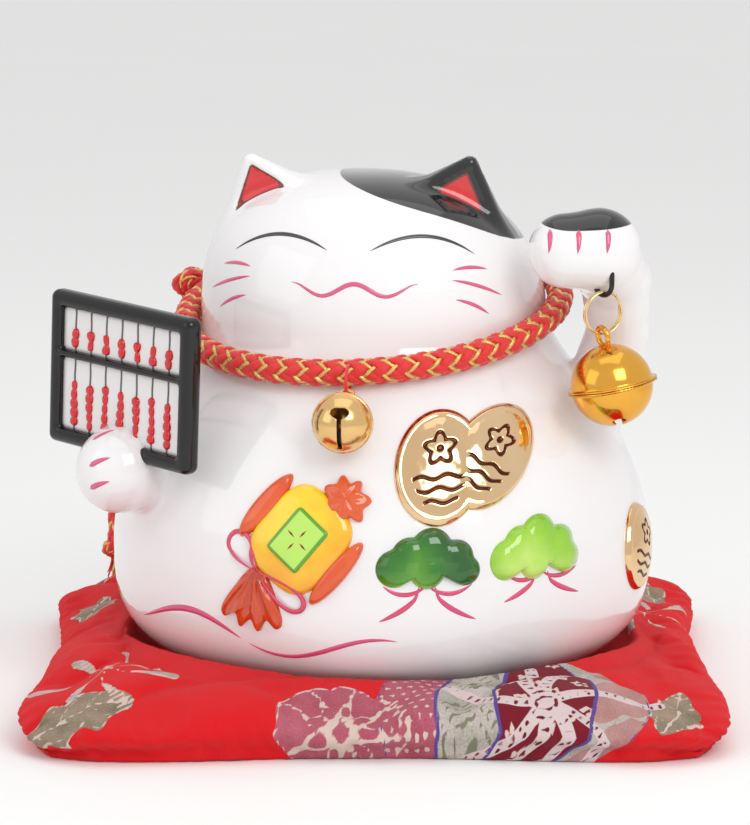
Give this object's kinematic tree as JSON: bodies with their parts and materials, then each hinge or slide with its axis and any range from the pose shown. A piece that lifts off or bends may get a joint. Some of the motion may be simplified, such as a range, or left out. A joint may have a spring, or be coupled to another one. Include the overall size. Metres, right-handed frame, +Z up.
{
  "type": "ceramic lucky cat figurine",
  "caption": "Round ceramic cat figurine on a square printed cushion, one paw raised with a hanging bell, the other holding an abacus, with a braided collar and bell.",
  "frame": {"origin": "middle of the underside of the cushion, on the table", "axes": "+Z up, the cat faces -Y, +X is to the right as seen from the front"},
  "size_m": [0.223, 0.2212, 0.1558],
  "materials": {
    "printed_cotton": "matte",
    "stuffing": "matte",
    "white_glaze": "gloss",
    "black_glaze": "gloss",
    "grey_glaze": "gloss",
    "red_glaze": "gloss",
    "yellow_glaze": "gloss",
    "orange_glaze": "gloss",
    "lime_glaze": "gloss",
    "pine_glaze": "gloss",
    "gold_lustre": "mirror",
    "braid": "satin",
    "thread": "matte",
    "black_wire": "satin",
    "brass": "polished",
    "steel": "satin"
  },
  "bodies": {
    "cushion": {"cushion_filling": "stuffing", "cushion_cover_top": "printed_cotton", "cushion_cover_bottom": "printed_cotton"},
    "figurine": {"body_shell": "white_glaze", "raised_arm": "white_glaze", "abacus_arm": "white_glaze", "abacus_frame": "black_glaze", "abacus_panel": "white_glaze", "abacus_rods": "grey_glaze", "abacus_beads": "red_glaze", "mallet_barrel": "yellow_glaze", "mallet_bands": "orange_glaze", "mallet_label": "lime_glaze", "mallet_knob": "orange_glaze", "mallet_tassel": "orange_glaze", "koban_front": "gold_lustre", "koban_back": "gold_lustre", "koban_side": "gold_lustre", "pine_dark": "pine_glaze", "pine_light": "lime_glaze", "collar_cord": "braid", "collar_knot": "braid", "tail_left": "braid", "tail_right": "braid", "bell_thread": "thread", "paw_hook": "black_wire"},
    "split_ring": {"split_ring": "brass"},
    "paw_bell": {"paw_bell_top": "brass", "paw_bell_bottom": "brass", "paw_bell_eyelet": "brass"},
    "paw_clapper": {"paw_clapper": "steel"},
    "collar_bell": {"collar_bell_back": "brass", "collar_bell_front": "brass", "collar_bell_eyelet": "brass"},
    "collar_clapper": {"collar_clapper": "steel"}
  },
  "joints": [
    {"name": "figurine_lift", "type": "slide", "parent": "cushion", "child": "figurine", "axis": [0, 0, 1], "range_m": [0, 0.06]},
    {"name": "split_ring_swing", "type": "hinge", "parent": "figurine", "child": "split_ring", "pos_m": [0.06787, -0.033, 0.119], "axis": [0.766, -0.6428, 0], "range_deg": [-20, 8]},
    {"name": "paw_bell_swing", "type": "hinge", "parent": "split_ring", "child": "paw_bell", "pos_m": [0.06787, -0.033, 0.109], "axis": [0.8192, 0.5736, 0], "range_deg": [-20, 12]},
    {"name": "paw_clapper_rattle", "type": "slide", "parent": "paw_bell", "child": "paw_clapper", "axis": [-0.1908, 0, 0.9816], "range_m": [0, 0.0125]},
    {"name": "collar_bell_swing", "type": "hinge", "parent": "figurine", "child": "collar_bell", "pos_m": [-0.0005, -0.06095, 0.09535], "axis": [-1, 0, 0], "range_deg": [0, 35]},
    {"name": "collar_clapper_rattle", "type": "slide", "parent": "collar_bell", "child": "collar_clapper", "axis": [0, 0, 1], "range_m": [0, 0.008]}
  ]
}
